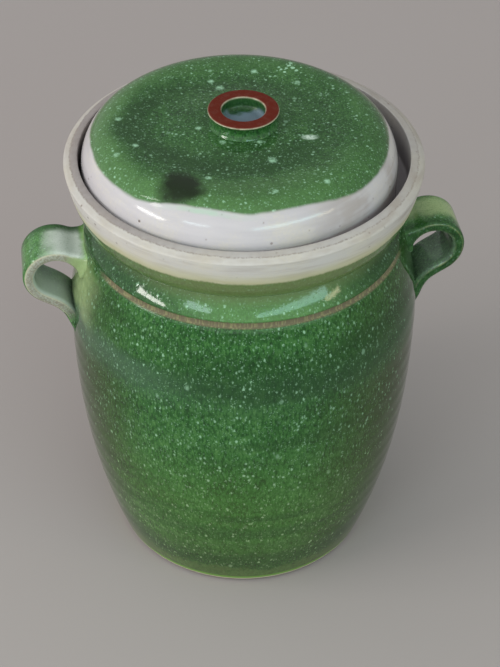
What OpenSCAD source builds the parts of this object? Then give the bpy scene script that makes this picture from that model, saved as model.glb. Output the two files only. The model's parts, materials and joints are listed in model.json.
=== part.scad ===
// Water-seal fermentation crock of glazed stoneware.
// A thrown pot carries a water gutter round its neck and two strap handles.
// The lid stands in the gutter and has a hollow ring knob; two half-round stones lie inside the pot.
// Millimetres, +Z up, handles along X, origin at the centre of the base.

/* [Pot] */
// Largest outside radius, at the belly
belly_r = 99.2; // [85:0.2:120]
// Outside radius of the base
base_r = 76.5; // [66:0.5:88]
// Height of the flat seat on the shoulder that carries the gutter
pot_h = 227.4; // [190:0.2:300]
// Height from the groove line up to the seat
shoulder_h = 15.8; // [14:0.2:28]
// Height from the belly up to the groove line
belly_drop = 52.6; // [40:0.2:70]
// How far the groove line lies inside the belly
shoulder_inset = 10.2; // [4:0.2:14]
// How far the seat's outer edge lies inside the groove line
seat_inset = 10.4; // [6:0.2:12]
// Roundness of the wall between base and belly
base_curve = 2.4; // [2:0.1:3.2]
// Roundness of the wall between belly and groove line
shoulder_curve = 1.85; // [1.4:0.05:2.4]
// Roundness of the shoulder between groove line and seat
seat_curve = 1.15; // [1:0.05:2]
// Wall thickness
pot_wall = 7; // [5:0.5:9]
// Thickness of the floor
floor_t = 9; // [6:0.5:14]
// Radius of the corner inside, between floor and wall
floor_fillet = 10; // [4:0.5:14]
// Bevel under the outer edge of the base
base_bevel = 2; // [1:0.25:4]
// Width of the groove line
groove_w = 4.5; // [3:0.25:6]
// Depth of the groove line
groove_d = 0.8; // [0.4:0.1:1.5]

/* [Neck] */
// Width of the seat between the neck and the seat's outer edge
seat_w = 8.6; // [7:0.2:14]
// Wall thickness of the neck
neck_wall = 6.5; // [5:0.5:9]
// Height of the neck's lip above the floor of the gutter
neck_h = 22; // [16:0.5:30]
// Thickness of the shoulder's roof where it meets the neck
roof_t = 6; // [4:0.5:12]
// Height of the curve inside, between wall and roof
roof_rise = 27; // [20:0.5:34]

/* [Gutter] */
// Thickness of the gutter's floor
gutter_floor = 13.6; // [9:0.2:17]
// Thickness of the gutter's outer wall
gutter_wall = 7.9; // [5:0.1:10]
// Height of the gutter's widest edge above the seat
rim_rise = 31; // [21:0.1:36]
// Height of the rim's crest above the widest edge
crest_h = 3; // [2:0.1:8]
// Roundness of the gutter's underside
flare_curve = 0.3; // [0.2:0.05:1]
// Roundness of the rim's crest
crest_curve = 4; // [1.2:0.1:8]
// Gap between the gutter and the neck, filled by the joining slip
slip_gap = 0.2; // [0.1:0.05:0.4]

/* [Lid] */
// Water space between the neck and the lid's skirt
inner_gap = 9.8; // [8:0.2:14]
// Water space between the lid's skirt and the gutter's wall
outer_gap = 4.1; // [2.5:0.1:6]
// Wall thickness of the lid
lid_wall = 6; // [4.5:0.5:8]
// Free height between the neck's lip and the lid
lid_headroom = 9.7; // [6:0.1:14]
// Width of the lid's rounded shoulder
lid_round_w = 20; // [14:0.5:24]
// Height of the lid's rounded shoulder
lid_round_h = 23.5; // [18:0.5:26]
// Depth of the shallow ring-shaped dip in the lid's top
dip_d = 1.6; // [0.5:0.1:2.5]
// Bevel at the foot of the skirt
skirt_bevel = 1; // [0.5:0.1:1.5]
// Share of the outer gap by which the lid stands off centre
lid_shift_share = 0.65; // [0:0.05:0.7]
// Direction in which the lid stands off centre, in degrees
lid_shift_angle = 190; // [0:1:359]

/* [Knob] */
// Outside radius of the knob's top
knob_r = 19.3; // [15:0.1:26]
// How far the knob's foot lies inside its top
knob_taper = 1.8; // [0.5:0.1:3]
// Radius of the knob's bowl
knob_bowl_r = 11.6; // [8:0.1:13]
// Height of the knob
knob_h = 9; // [6:0.5:14]
// Thickness of the knob's floor
knob_floor = 1.8; // [1:0.1:3]
// Bevel along the knob's edges
knob_bevel = 0.8; // [0.4:0.1:1.2]
// Flat margin on the lid round the knob's foot
knob_margin = 4.5; // [2:0.5:8]
// How far the knob stands off the lid's middle, back towards the pot's axis
knob_shift = 2.1; // [0:0.1:4]

/* [Handles] */
// Width of the strap
strap_w = 29; // [22:0.5:36]
// Thickness of the strap
strap_t = 6.8; // [6.2:0.1:9]
// Radius along the strap's edges
strap_edge = 3; // [1.5:0.1:3]
// Height of the upper root below the groove line
root_drop = 8.4; // [6:0.1:14]
// Upward tilt of the upper arm, in degrees
root_tilt = 28; // [15:1:35]
// Length of the upper arm outside the wall
arm_l = 9; // [5:0.1:14]
// Extra thickness of the strap where it leaves the wall
root_flare_t = 6; // [0:0.1:8]
// Extra width of the strap where it leaves the wall
root_flare_w = 5; // [0:0.5:8]
// Radius of the outer bend at the strap's middle
bend_r = 14.8; // [12:0.2:18]
// Turn of the outer bend, in degrees
bend_turn = 176; // [165:1:180]
// Radius of the reverse bend above the lower root
foot_r = 21; // [14:0.5:28]
// Turn of the reverse bend, in degrees
foot_turn = 50; // [45:1:54]
// Length of the strap pressed onto the wall at the lower root
foot_l = 9; // [4:0.5:12]
// Extra width of the strap where it is pressed onto the wall
foot_flare_w = 5; // [0:0.5:8]
// Depth of the strap's middle inside the belly radius at the lower root
foot_sink = 0.8; // [0:0.1:1.2]

/* [Weighting stones] */
// Thickness of a stone
stone_t = 22; // [15:0.5:30]
// Gap between the two stones
stone_gap = 4; // [2:0.5:8]
// How far the stones stay inside the mouth or the flat floor
stone_clearance = 3; // [2:0.5:10]
// Radius of the half-round finger notch
notch_r = 14; // [10:0.5:18]
// Bevel along the stones' round edges
stone_bevel = 3; // [1:0.5:5]

/* [Hidden] */
$fn = 96;

glaze_green = "#4c7b48";
glaze_white = "#d5d2c8";
clay_red = "#8a5a44";
clay_grey = "#a89c8c";

// Steps along each curved stretch of an outline
curve_steps = 24;
arc_steps = 8;

groove_z = pot_h - shoulder_h;
belly_z = groove_z - belly_drop;
groove_r = belly_r - shoulder_inset;
seat_r = groove_r - seat_inset;
neck_r = seat_r - seat_w;
mouth_r = neck_r - neck_wall;
trough_z = pot_h + gutter_floor;
neck_top = trough_z + neck_h;
roof_z = pot_h - roof_t;
spring_z = roof_z - roof_rise;

skirt_in_r = neck_r + inner_gap;
skirt_r = skirt_in_r + lid_wall;
trough_r = skirt_r + outer_gap;
rim_r = trough_r + gutter_wall;
rim_z = pot_h + rim_rise;

lid_inside_z = neck_top + lid_headroom;
lid_top = lid_inside_z + lid_wall;
lid_round_z = lid_top - lid_round_h;
lid_round_r = skirt_r - lid_round_w;
lid_shift = lid_shift_share * outer_gap;
trough_fillet = 0.7 * (outer_gap - lid_shift);
knob_foot_r = knob_r - knob_taper;
knob_pad_r = knob_foot_r + knob_margin;

floor_corner_z = floor_t + floor_fillet;
floor_flat_r = wall_r(floor_corner_z) - pot_wall - floor_fillet;
stone_r = min(mouth_r, floor_flat_r) - stone_clearance;
// How far a cutting shape runs past what it cuts
cut_over = 1;

// Strap's middle line: root in the wall, arm, outer bend, lower arm, reverse bend, foot
root_z = groove_z - root_drop;
root_start = [wall_r(root_z), root_z];
root_sink = pot_wall;
arm_end = root_start + arm_l * along(root_tilt);
bend_centre = arm_end + bend_r * beside(root_tilt);
low_head = root_tilt - bend_turn;
bend_end = bend_centre - bend_r * beside(low_head);
foot_head = low_head + foot_turn;
foot_step = foot_r * (beside(foot_head) - beside(low_head));
low_arm_l = (belly_r - foot_sink - bend_end.x - foot_step.x) / along(low_head).x;
low_arm_end = bend_end + low_arm_l * along(low_head);
foot_centre = low_arm_end - foot_r * beside(low_head);
foot_start = low_arm_end + foot_step;
arm_steps = 5;
bend_steps = 22;
corner_steps = 3;
ring_points = 4 * (corner_steps + 1);

// Outside radius of the pot at height z, from the base up to the groove line
function wall_r(z) = z < belly_z
    ? belly_r - (belly_r - base_r) * pow(1 - z / belly_z, base_curve)
    : belly_r - shoulder_inset * pow((z - belly_z) / belly_drop, shoulder_curve);

// Unit step along a heading, and the unit step to its right
function along(heading) = [cos(heading), sin(heading)];
function beside(heading) = [sin(heading), -cos(heading)];

// Points of an elliptical arc round a centre, from one angle to another
function arc(centre, radii, from, to, steps = arc_steps) =
    [for (i = [0:steps]) let (a = from + (to - from) * i / steps)
        centre + [radii.x * cos(a), radii.y * sin(a)]];

// Pot outside, from the bevel at the base up to the edge of the seat
function pot_outside() = concat(
    [[base_r - base_bevel, 0]],
    [for (i = [0:curve_steps])
        let (z = base_bevel + (groove_z - groove_w / 2 - base_bevel) * i / curve_steps)
        [wall_r(z), z]],
    [[groove_r - groove_d, groove_z - groove_w / 4],
     [groove_r - groove_d, groove_z + groove_w / 4]],
    [for (i = [0:arc_steps])
        [groove_r - seat_inset * pow(i / arc_steps, seat_curve),
         groove_z + groove_w / 2 + (shoulder_h - groove_w / 2) * i / arc_steps]]);

// Pot inside, from the mouth down the neck, under the roof and down the wall to the floor
function pot_inside() = concat(
    arc([mouth_r, spring_z], [wall_r(spring_z) - pot_wall - mouth_r, roof_rise], 90, 0, curve_steps),
    [for (i = [1:curve_steps - 1])
        let (z = spring_z + (floor_corner_z - spring_z) * i / curve_steps)
        [wall_r(z) - pot_wall, z]],
    arc([floor_flat_r, floor_corner_z], [floor_fillet, floor_fillet], 0, -90),
    [[0, floor_t], [0, 0]]);

module crock_body() {
    color(glaze_green)
    rotate_extrude()
    polygon(concat(
        pot_outside(),
        [[neck_r, pot_h]],
        arc([neck_r - neck_wall / 2, neck_top - neck_wall / 2], [neck_wall / 2, neck_wall / 2], 0, 180),
        pot_inside()));
}

// Everything inside the pot's outer skin, which cuts the handles' roots to the wall
module pot_envelope() {
    rotate_extrude()
    polygon(concat([[0, 0]], pot_outside(), [[0, pot_h]]));
}

module water_gutter() {
    overhang = rim_r - seat_r;
    color(glaze_white)
    rotate_extrude()
    polygon(concat(
        [[neck_r + slip_gap, trough_z], [neck_r + slip_gap, pot_h]],
        [for (i = [0:curve_steps]) let (t = pow(i / curve_steps, 1 / flare_curve))
            [seat_r + overhang * i / curve_steps, pot_h + rim_rise * t]],
        [for (i = [1:arc_steps]) let (u = 1 - i / arc_steps)
            [trough_r + gutter_wall * u, rim_z + crest_h * (1 - pow(u, crest_curve))]],
        arc([trough_r - trough_fillet, trough_z + trough_fillet],
            [trough_fillet, trough_fillet], 0, -90)));
}

module lid_dome() {
    dip_w = lid_round_r - knob_pad_r;
    color(glaze_green)
    lid_place(lid_shift)
    rotate_extrude()
    polygon(concat(
        [[skirt_in_r, trough_z], [skirt_r - skirt_bevel, trough_z], [skirt_r, trough_z + skirt_bevel]],
        arc([lid_round_r, lid_round_z], [lid_round_w, lid_round_h], 0, 90, curve_steps),
        [for (i = [1:curve_steps]) let (t = i / curve_steps)
            [lid_round_r - dip_w * t, lid_top - dip_d * pow(sin(180 * t), 2)]],
        [[0, lid_top], [0, lid_inside_z]],
        arc([lid_round_r, lid_round_z], [lid_round_w - lid_wall, lid_round_h - lid_wall], 90, 0, curve_steps)));
}

module lid_knob() {
    top = lid_top + knob_h;
    color(clay_red)
    lid_place(lid_shift - knob_shift)
    rotate_extrude()
    polygon([
        [0, lid_top],
        [knob_foot_r, lid_top],
        [knob_r, top - knob_bevel],
        [knob_r - knob_bevel, top],
        [knob_bowl_r + knob_bevel, top],
        [knob_bowl_r, top - knob_bevel],
        [knob_bowl_r, lid_top + knob_floor],
        [0, lid_top + knob_floor]]);
}

// The lid and its knob each stand a little way off the pot's axis
module lid_place(distance) {
    shift = distance * along(lid_shift_angle);
    translate([shift.x, shift.y, 0])
    children();
}

// Stations along the strap, each with point, heading, thickness, width and wrap round the wall
function strap_stations() = concat(
    [arm_station(-root_sink)],
    [for (i = [0:arm_steps]) arm_station(arm_l * i / arm_steps)],
    [for (i = [1:bend_steps]) let (heading = root_tilt - bend_turn * i / bend_steps)
        [bend_centre - bend_r * beside(heading), heading, strap_t, strap_w, 0]],
    [for (i = [0:arc_steps]) let (share = i / arc_steps, heading = low_head + foot_turn * share)
        [foot_centre + foot_r * beside(heading), heading, strap_t, foot_w(share), share]],
    [[foot_start + foot_l * along(foot_head), foot_head, strap_t, foot_w(1), 1]]);

// Station on the upper arm at a distance from the wall; the strap flares towards the wall
function arm_station(distance) =
    let (flare = pow(1 - max(distance, 0) / arm_l, 2))
    [root_start + distance * along(root_tilt), root_tilt,
     strap_t + root_flare_t * flare, strap_w + root_flare_w * flare, 0];

// Width of the strap along the reverse bend
function foot_w(share) = strap_w + foot_flare_w * pow(share, 2);

// Rounded section at a station, counted round the heading, curved round the wall by its wrap
function strap_ring(station) = [
    for (corner = [0:3], k = [0:corner_steps])
        let (
            angle = 90 * (corner + k / corner_steps),
            to_x = corner == 0 || corner == 3 ? 1 : -1,
            to_y = corner < 2 ? 1 : -1,
            across = to_x * (station[2] / 2 - strap_edge) + strap_edge * cos(angle),
            side = to_y * (station[3] / 2 - strap_edge) + strap_edge * sin(angle),
            place = station[0] + across * beside(station[1]))
        [place.x - station[4] * pow(side, 2) / (2 * belly_r), side, place.y]];

// Strap swept through its stations, with a fan of triangles closing each end
module strap() {
    stations = strap_stations();
    last = len(stations) - 1;
    first_middle = (last + 1) * ring_points;
    points = concat(
        [for (station = stations) each strap_ring(station)],
        [for (station = [stations[0], stations[last]]) [station[0].x, 0, station[0].y]]);
    sides = [
        for (i = [0:last - 1], j = [0:ring_points - 1])
            let (
                k = (j + 1) % ring_points,
                a = i * ring_points + j,
                b = a + ring_points,
                c = (i + 1) * ring_points + k,
                d = i * ring_points + k)
            each [[a, b, c], [a, c, d]]];
    ends = [
        for (j = [0:ring_points - 1])
            let (k = (j + 1) % ring_points)
            each [[first_middle, j, k], [first_middle + 1, last * ring_points + k, last * ring_points + j]]];
    polyhedron(points, concat(sides, ends));
}

module strap_handle() {
    color(glaze_green)
    difference() {
        strap();
        pot_envelope();
    }
}

module right_handle() {
    strap_handle();
}

module left_handle() {
    rotate([0, 0, 180])
    strap_handle();
}

// Half-round stone on the pot's floor, with a finger notch in its straight edge
module weight_stone() {
    color(clay_grey)
    translate([0, 0, floor_t])
    difference() {
        rotate_extrude()
        polygon([
            [0, 0],
            [stone_r - stone_bevel, 0],
            [stone_r, stone_bevel],
            [stone_r, stone_t - stone_bevel],
            [stone_r - stone_bevel, stone_t],
            [0, stone_t]]);
        translate([-2 * stone_r + stone_gap / 2, -stone_r - cut_over, -cut_over])
        cube([2 * stone_r, 2 * (stone_r + cut_over), stone_t + 2 * cut_over]);
        translate([0, 0, -cut_over])
        cylinder(r = notch_r, h = stone_t + 2 * cut_over);
    }
}

module right_weight_stone() {
    weight_stone();
}

module left_weight_stone() {
    rotate([0, 0, 180])
    weight_stone();
}

crock_body();
water_gutter();
left_handle();
right_handle();
lid_dome();
lid_knob();
left_weight_stone();
right_weight_stone();
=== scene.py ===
"""Looks of a water-seal fermentation crock in speckled green glaze, built round its packed CAD frame.

The pot, the gutter, the lid and the knob are turned from softened outlines. The strap handles are a rounded
section swept along a bent line, and the weighting stones are rounded slabs. Lengths are in metres, apart
from those in the glazes, which are in millimetres. +Z is up, the handles lie along X, and the origin is the
centre of the base.
"""

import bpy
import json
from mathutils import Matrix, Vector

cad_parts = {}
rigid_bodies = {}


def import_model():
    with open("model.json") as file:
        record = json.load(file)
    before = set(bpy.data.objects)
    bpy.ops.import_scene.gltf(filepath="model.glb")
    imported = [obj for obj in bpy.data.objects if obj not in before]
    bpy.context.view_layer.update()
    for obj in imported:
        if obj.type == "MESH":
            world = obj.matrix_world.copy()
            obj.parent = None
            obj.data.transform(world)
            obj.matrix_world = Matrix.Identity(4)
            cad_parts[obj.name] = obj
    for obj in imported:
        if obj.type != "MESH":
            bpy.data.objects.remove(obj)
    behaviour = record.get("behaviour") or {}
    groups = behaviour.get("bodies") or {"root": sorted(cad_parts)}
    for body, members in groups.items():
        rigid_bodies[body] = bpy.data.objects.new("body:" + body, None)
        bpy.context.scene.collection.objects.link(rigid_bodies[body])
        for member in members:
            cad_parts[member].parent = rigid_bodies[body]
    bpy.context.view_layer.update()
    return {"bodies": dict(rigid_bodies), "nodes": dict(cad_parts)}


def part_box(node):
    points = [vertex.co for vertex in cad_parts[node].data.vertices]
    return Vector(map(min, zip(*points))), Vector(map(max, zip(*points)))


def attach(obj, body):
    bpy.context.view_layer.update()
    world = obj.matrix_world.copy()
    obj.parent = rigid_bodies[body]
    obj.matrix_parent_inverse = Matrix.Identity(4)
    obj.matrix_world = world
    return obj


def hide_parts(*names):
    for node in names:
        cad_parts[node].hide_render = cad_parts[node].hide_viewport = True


bl_info = {
    "name": "Fermentation Crock",
    "version": (1, 0, 0),
    "blender": (4, 5, 0),
    "location": "3D Viewport > Sidebar > Crock",
    "description": "Builds a glazed water-seal fermentation crock round its CAD frame",
    "category": "Add Mesh",
}

import json

import bpy
import numpy as np
from mathutils import Matrix, Vector

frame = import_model()
POT_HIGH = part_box("crock_body")[1]
GUTTER_LOW, GUTTER_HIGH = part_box("water_gutter")
LID_LOW, LID_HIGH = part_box("lid_dome")
KNOB_LOW, KNOB_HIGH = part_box("lid_knob")
STONE_LOW, STONE_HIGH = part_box("right_weight_stone")
LID_MIDDLE = (LID_LOW + LID_HIGH) / 2
KNOB_MIDDLE = (KNOB_LOW + KNOB_HIGH) / 2
MM = 0.001
TURNS = 240


# Property makers

def length(name, description, default):
    """A length in metres"""
    return bpy.props.FloatProperty(
        name=name, description=description, default=default, unit="LENGTH", precision=4)


def number(name, description, default):
    """A plain number"""
    return bpy.props.FloatProperty(name=name, description=description, default=default, precision=3)


def angle(name, description, degrees):
    """An angle, given in degrees"""
    return bpy.props.FloatProperty(
        name=name, description=description, default=np.radians(degrees), subtype="ANGLE")


def colour(name, description, red, green, blue):
    """A colour, given as a screen colour from 0 to 255"""
    screen = np.array([red, green, blue]) / 255
    linear = np.where(screen < 0.04045, screen / 12.92, ((screen + 0.055) / 1.055) ** 2.4)
    return bpy.props.FloatVectorProperty(
        name=name, description=description, default=linear.tolist(), subtype="COLOR", min=0, max=1)


# Sizes and colours

class PotSettings(bpy.types.PropertyGroup):
    """Sizes of the pot and its neck"""
    belly_radius: length("Belly radius", "Largest outside radius", POT_HIGH.y)
    base_radius: length("Base radius", "Outside radius at the base", 76.5 * MM)
    belly_height: length("Belly height", "Height of the largest radius", 159 * MM)
    groove_height: length("Groove height", "Height of the groove line", 211.6 * MM)
    groove_inset: length("Groove inset", "How far the groove line lies inside the belly", 10.2 * MM)
    groove_width: length("Groove width", "Width of the groove line", 4.5 * MM)
    groove_depth: length("Groove depth", "Depth of the groove line", 0.8 * MM)
    base_curve: number("Base curve", "Roundness of the wall between base and belly", 2.4)
    shoulder_curve: number("Shoulder curve", "Roundness of the wall between belly and groove line", 1.85)
    seat_height: length("Seat height", "Height of the seat that carries the gutter", GUTTER_LOW.z)
    seat_inset: length("Seat inset", "How far the seat's edge lies inside the groove line", 10.4 * MM)
    seat_curve: number("Seat curve", "Roundness of the shoulder between groove line and seat", 1.15)
    neck_radius: length("Neck radius", "Outside radius of the neck", 70 * MM)
    neck_wall: length("Neck wall", "Wall thickness of the neck", 6.5 * MM)
    lip_height: length("Lip height", "Height of the neck's lip", POT_HIGH.z)
    wall: length("Wall", "Wall thickness of the pot", 7 * MM)
    floor: length("Floor", "Thickness of the pot's floor", 9 * MM)
    floor_fillet: length("Floor fillet", "Radius of the corner between floor and wall", 10 * MM)
    roof_height: length("Roof height", "Height of the roof inside, where it meets the neck", 221.4 * MM)
    roof_rise: length("Roof rise", "Height of the curve inside, between wall and roof", 27 * MM)
    base_bevel: length("Base bevel", "Bevel under the outer edge of the base", 2 * MM)
    ridge_depth: length("Ridge depth", "Depth of the throwing ridges on the wall", 0.16 * MM)
    ridge_pitch: length("Ridge pitch", "Distance between throwing ridges", 12.5 * MM)

    def radius_at(self, height):
        """Outside radius at a height: the belly radius, less a power of the share of the way down to the
        base or up to the groove line."""
        down = np.clip(1 - height / self.belly_height, 0, 1)
        up = np.clip((height - self.belly_height) / (self.groove_height - self.belly_height), 0, 2)
        to_base = (self.belly_radius - self.base_radius) * down ** self.base_curve
        to_groove = self.groove_inset * up ** self.shoulder_curve
        return self.belly_radius - to_base - to_groove

    def shoulder(self, share):
        """Radius and height of the shoulder, at a share of the way from the groove line to the seat."""
        start = self.groove_height + self.groove_width / 2
        radius = self.belly_radius - self.groove_inset - self.seat_inset * share ** self.seat_curve
        return np.column_stack([radius, start + (self.seat_height - start) * share])


class GutterSettings(bpy.types.PropertyGroup):
    """Sizes of the water gutter"""
    rim_radius: length("Rim radius", "Radius of the widest edge", GUTTER_HIGH.x)
    rim_height: length("Rim height", "Height of the widest edge", 258.4 * MM)
    crest_height: length("Crest height", "Height of the rim's crest", GUTTER_HIGH.z)
    wall: length("Wall", "Thickness of the outer wall", 7.9 * MM)
    floor_height: length("Floor height", "Height of the gutter's floor", LID_LOW.z)
    trough_fillet: length("Trough fillet", "Radius between floor and outer wall", 1 * MM)
    neck_fillet: length("Neck fillet", "Radius of the slip between floor and neck", 2.5 * MM)
    flare_curve: number("Flare curve", "Roundness of the underside", 0.3)
    crest_curve: number("Crest curve", "Roundness of the rim's crest", 2.1)
    white_height: length("White height", "Height at which the white glaze starts", 244 * MM)


class LidSettings(bpy.types.PropertyGroup):
    """Sizes of the lid"""
    skirt_radius: length("Skirt radius", "Outside radius of the skirt", (LID_HIGH.x - LID_LOW.x) / 2)
    wall: length("Wall", "Wall thickness", 6 * MM)
    top_height: length("Top height", "Height of the lid's top", LID_HIGH.z)
    round_width: length("Round width", "Width of the rounded shoulder", 20 * MM)
    round_height: length("Round height", "Height of the rounded shoulder", 23.5 * MM)
    dip: length("Dip", "Depth of the ring-shaped dip in the top", 1.6 * MM)
    pad_radius: length("Pad radius", "Radius of the flat pad round the knob", 22 * MM)
    green_radius: length("Green radius", "Largest radius of the green glaze", 80.2 * MM)


class KnobSettings(bpy.types.PropertyGroup):
    """Sizes of the ring knob"""
    radius: length("Radius", "Outside radius of the top", (KNOB_HIGH.x - KNOB_LOW.x) / 2)
    foot_radius: length("Foot radius", "Radius of the foot", 17.5 * MM)
    waist_radius: length("Waist radius", "Radius of the concave side", 17.1 * MM)
    bowl_radius: length("Bowl radius", "Radius of the bowl", 11.6 * MM)
    bowl_floor: length("Bowl floor", "Thickness of the bowl's floor", 1.8 * MM)
    bevel: length("Bevel", "Bevel along the edges", 0.8 * MM)


class HandleSettings(bpy.types.PropertyGroup):
    """Sizes of the strap handles"""
    width: length("Width", "Width of the strap", 29 * MM)
    thickness: length("Thickness", "Thickness of the strap", 6.7 * MM)
    edge: length("Edge", "Radius along the strap's edges", 2.9 * MM)
    root_height: length("Root height", "Height of the upper root", 203.2 * MM)
    root_tilt: angle("Root tilt", "Upward tilt of the upper arm", 28)
    arm: length("Arm", "Length of the upper arm", 9 * MM)
    bend_radius: length("Bend radius", "Radius of the outer bend", 14.8 * MM)
    bend_turn: angle("Bend turn", "Turn of the outer bend", 176)
    foot_radius: length("Foot radius", "Radius of the reverse bend", 21 * MM)
    foot_turn: angle("Foot turn", "Turn of the reverse bend", 50)
    foot: length("Foot", "Length of strap pressed onto the wall", 9 * MM)
    foot_sink: length("Foot sink", "Depth of the strap's middle inside the belly radius", 0.8 * MM)
    flare_width: length("Flare width", "Extra width at both roots", 5 * MM)
    flare_thickness: length("Flare thickness", "Extra thickness at the upper root", 6 * MM)
    fillet: length("Fillet", "Radius of the slip round the upper root", 2.5 * MM)


class StoneSettings(bpy.types.PropertyGroup):
    """Sizes of the weighting stones"""
    radius: length("Radius", "Radius of the round edge", STONE_HIGH.x)
    bottom: length("Bottom", "Height of the underside", STONE_LOW.z)
    top: length("Top", "Height of the upper side", STONE_HIGH.z)
    straight: length("Straight edge", "Distance of the straight edge from the middle", STONE_LOW.x)
    notch: length("Notch", "Radius of the finger notch", 14 * MM)
    rounding: length("Rounding", "Rounding of the edges", 2 * MM)


class GlazeSettings(bpy.types.PropertyGroup):
    """Colours of the glazes and clays"""
    # Deep green, also painted shade on the shoulder's sides and in the knob's bowl, and a painted dark
    # reflection over the bluish band
    deep: colour("Deep green", "Green where the glaze lies thick", 23, 54, 24)
    green: colour("Green", "Main green of the glaze", 48, 98, 44)
    # Light green, also painted light on the front of the shoulder and towards the lid's front left
    light: colour("Light green", "Green where the glaze lies thin", 106, 152, 88)
    still: colour("Still green", "Even green that calms the upper wall", 32, 70, 32)
    # Yellower and lighter green of the lower wall; the lightening is painted light
    moss: colour("Moss", "Yellower green of the lower wall", 78, 112, 42)
    # Brownish green: a painted reflection of a brown floor towards the sides, and browner towards the base
    umber: colour("Umber", "Brownish green towards the sides", 42, 52, 16)
    thin: colour("Thin green", "Pale green between the roots of the left handle", 150, 168, 118)
    # Olive: the glaze's own band over the foot, and painted shade and reflection close under the gutter
    olive: colour("Olive", "Smooth green under the white glaze", 108, 122, 74)
    lime: colour("Lime", "Yellow-green where the glaze breaks over an edge", 112, 160, 62)
    fleck: colour("Fleck", "Pale flecks in the green", 150, 192, 158)
    # Painted reflection of a pale wall: the bluish band high on the wall
    band_reflection: colour("Haze", "Bluish band high on the wall", 84, 110, 92)
    murk: colour("Murk", "Greyer green that dulls the lid", 50, 68, 44)
    # Painted reflection of a dark thing on the lid's front left
    dark_reflection: colour("Blot", "Dark pool in the lid's glaze", 20, 32, 12)
    white: colour("White", "White glaze", 190, 187, 182)
    lilac: colour("Lilac white", "White glaze of the lid's skirt", 183, 178, 180)
    ash: colour("Ash", "Greyish white of thin glaze", 200, 208, 198)
    cream: colour("Cream", "White glaze where it is thin over an edge", 202, 194, 168)
    # Tan: the crest's worn edge, tan rings and a browner right on the gutter's side, the handle's beige
    # edge, and a painted warm reflection at the right of the lid's skirt
    tan: colour("Tan", "Bare edge worn through the glaze", 150, 138, 126)
    straw: colour("Straw", "White glaze that runs into the green", 176, 174, 120)
    # Grey of the crest and of the skirt's throwing lines, and painted shade in the trough and low on the
    # lid's skirt
    grey_and_shade: colour("Damp", "White glaze down in the trough", 134, 130, 136)
    pinhole: colour("Pinhole", "Pinholes in the white glaze", 92, 74, 62)
    groove: colour("Groove", "Bare clay in the groove line", 108, 98, 80)
    clay: colour("Red clay", "Bare clay of the base and the knob", 90, 30, 18)
    pool: colour("Pool", "Pooled glaze in the knob's bowl", 100, 118, 128)
    stone: colour("Stone", "Fired clay of the weighting stones", 176, 160, 138)


class StageSettings(bpy.types.PropertyGroup):
    """Camera, floor and light"""
    camera_place: bpy.props.FloatVectorProperty(
        name="Camera place", description="Place of the camera", default=(-0.1063, -0.7566, 0.78),
        subtype="TRANSLATION", unit="LENGTH")
    heading: angle("Heading", "Camera's heading from +Y towards +X", 8.30)
    pitch: angle("Pitch", "How far the camera looks down", 40.34)
    roll: angle("Roll", "Camera's roll", 0.54)
    lens: number("Lens", "Focal length in millimetres on a 36 mm sensor", 91.75)
    floor_radius: length("Floor radius", "Radius of the floor", 4.0)
    floor_colour: colour("Floor colour", "Pale warm grey of the floor", 161, 153, 150)
    horizon: number("Horizon", "Strength of the light from the level", 0.93)
    fall: number("Fall", "How much weaker the light is straight above", 0.2)
    lean: number("Lean", "How much stronger the light is from the front left", 0.62)
    lean_heading: angle("Lean heading", "Heading of the front left, from +X", -125)


# Outlines

def run_along(points):
    """Length of an outline from its start to each of its points."""
    return np.concatenate([[0], np.cumsum(np.hypot(*np.diff(points, axis=0).T))])


def bell_curve(spread):
    """Weights of a bell curve, out to three times its spread on both sides."""
    weights = np.exp(-0.5 * (np.arange(-3 * spread, 3 * spread + 1) / spread) ** 2)
    return weights / weights.sum()


def softened(points, softness, closed=False):
    """Rounds every corner of an outline: the outline is resampled evenly and averaged along its length with
    a bell curve as wide as the softness. The ends of an open outline stay where they are."""
    path = np.vstack([points, points[:1]]) if closed else np.asarray(points)
    run = run_along(path)
    spread = 4
    reach = 3 * spread
    at = np.linspace(0, run[-1], int(run[-1] / softness * spread) + 2)
    even = np.column_stack([np.interp(at, run, path[:, k]) for k in (0, 1)])
    if closed:
        even = even[:-1]
        padded = np.vstack([even[-reach:], even, even[:reach]])
    else:
        before = 2 * even[0] - even[reach:0:-1]
        after = 2 * even[-1] - even[-2:-reach - 2:-1]
        padded = np.vstack([before, even, after])
    return np.column_stack([np.convolve(padded[:, k], bell_curve(spread), "valid") for k in (0, 1)])


def thinned(points, count):
    """Keeps a number of points of a fine outline, spaced evenly by its length plus its bends."""
    step = np.diff(points, axis=0)
    long = np.hypot(*step.T)
    heading = np.unwrap(np.arctan2(step[:, 1], step[:, 0]))
    bend = np.abs(np.diff(heading, prepend=heading[0]))
    bend_share = 0.6
    cost = long / long.sum() + bend_share * bend / bend.sum()
    run = np.concatenate([[0], np.cumsum(cost)])
    at = np.linspace(0, run[-1], count)
    return np.column_stack([np.interp(at, run, points[:, k]) for k in (0, 1)])


def soft_loop(points, softness, count):
    """Closed outline with every corner rounded, as a number of points."""
    fine = softened(points, softness, True)
    return thinned(np.vstack([fine, fine[:1]]), count + 1)[:-1]


def ellipse(middle, radii, start, end, count):
    """Points of an arc from one angle in degrees to another, with one radius or two."""
    turn = np.radians(np.linspace(start, end, count))
    return np.array(middle) + np.column_stack([np.cos(turn), np.sin(turn)]) * radii


def bent(start, control, end, count):
    """Points of a quadratic curve from start to end that is pulled towards a control point."""
    t = np.linspace(0, 1, count)[:, None]
    return (1 - t) ** 2 * np.array(start) + 2 * t * (1 - t) * np.array(control) + t ** 2 * np.array(end)


def smooth_step(low, high, value):
    """Rises from 0 at low to 1 at high, by three squares less two cubes of the share of the way."""
    t = np.clip((value - low) / (high - low), 0, 1)
    return t * t * (3 - 2 * t)


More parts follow.
